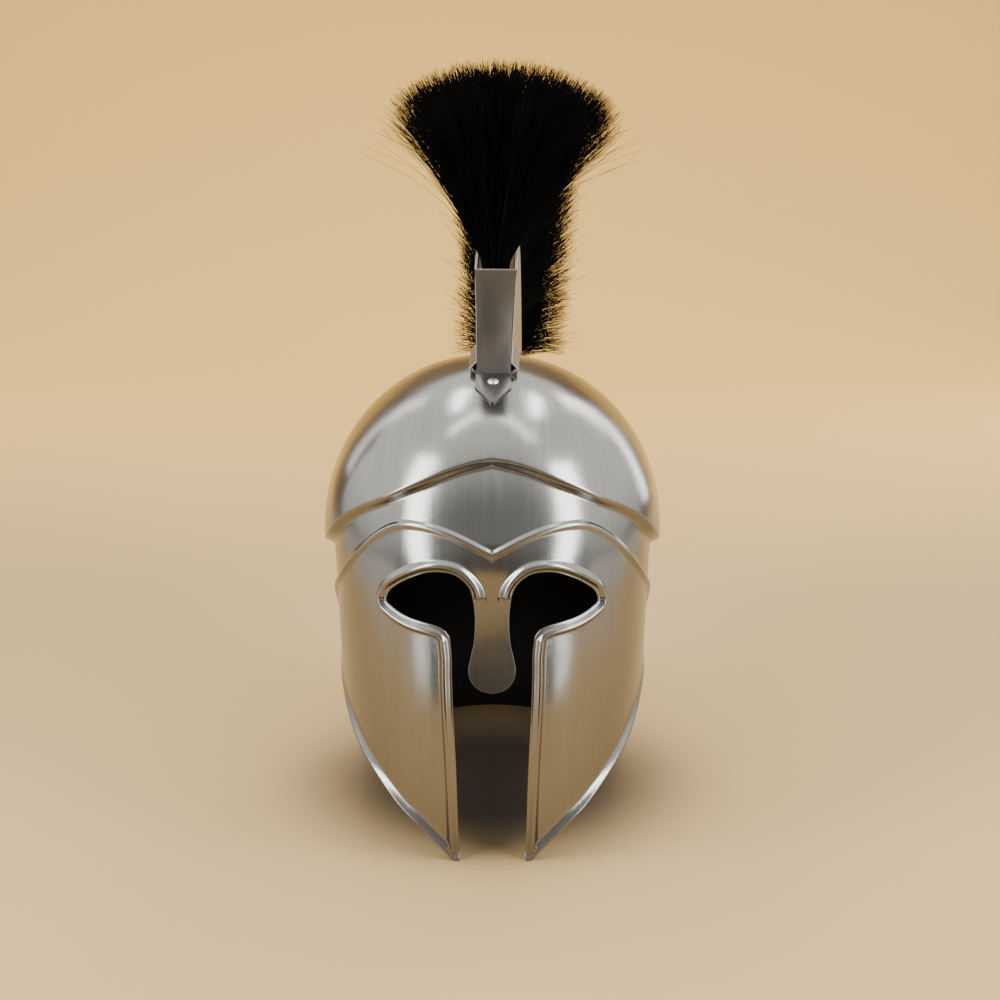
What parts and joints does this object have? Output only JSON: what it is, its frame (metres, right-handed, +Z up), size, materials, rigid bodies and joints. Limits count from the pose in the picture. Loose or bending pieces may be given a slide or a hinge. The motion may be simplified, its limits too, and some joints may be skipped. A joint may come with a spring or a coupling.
{
  "type": "greek helmet with hair crest",
  "caption": "Close-faced raised steel helmet with almond eye holes, long nasal, pointed cheek guards, neck guard and a dark upright hair crest in a riveted channel.",
  "frame": {"origin": "on the ground, under the middle of the box of the helmet and its crest", "axes": "+Z up, the face looks along -Y, +X to the viewer's right; the helmet stands on its cheek tips and neck guard"},
  "size_m": [0.2152, 0.382, 0.4835],
  "materials": {
    "steel": "satin, brushed by hand",
    "wood": "bare, sanded",
    "hair": "stiff black bristle"
  },
  "bodies": {
    "root": {"helmet_shell": "steel", "crest_channel": "steel", "front_strap": "steel", "rear_strap": "steel", "front_rivet": "steel", "rear_rivet": "steel", "plume_block": "wood", "plume": "hair"}
  },
  "joints": []
}
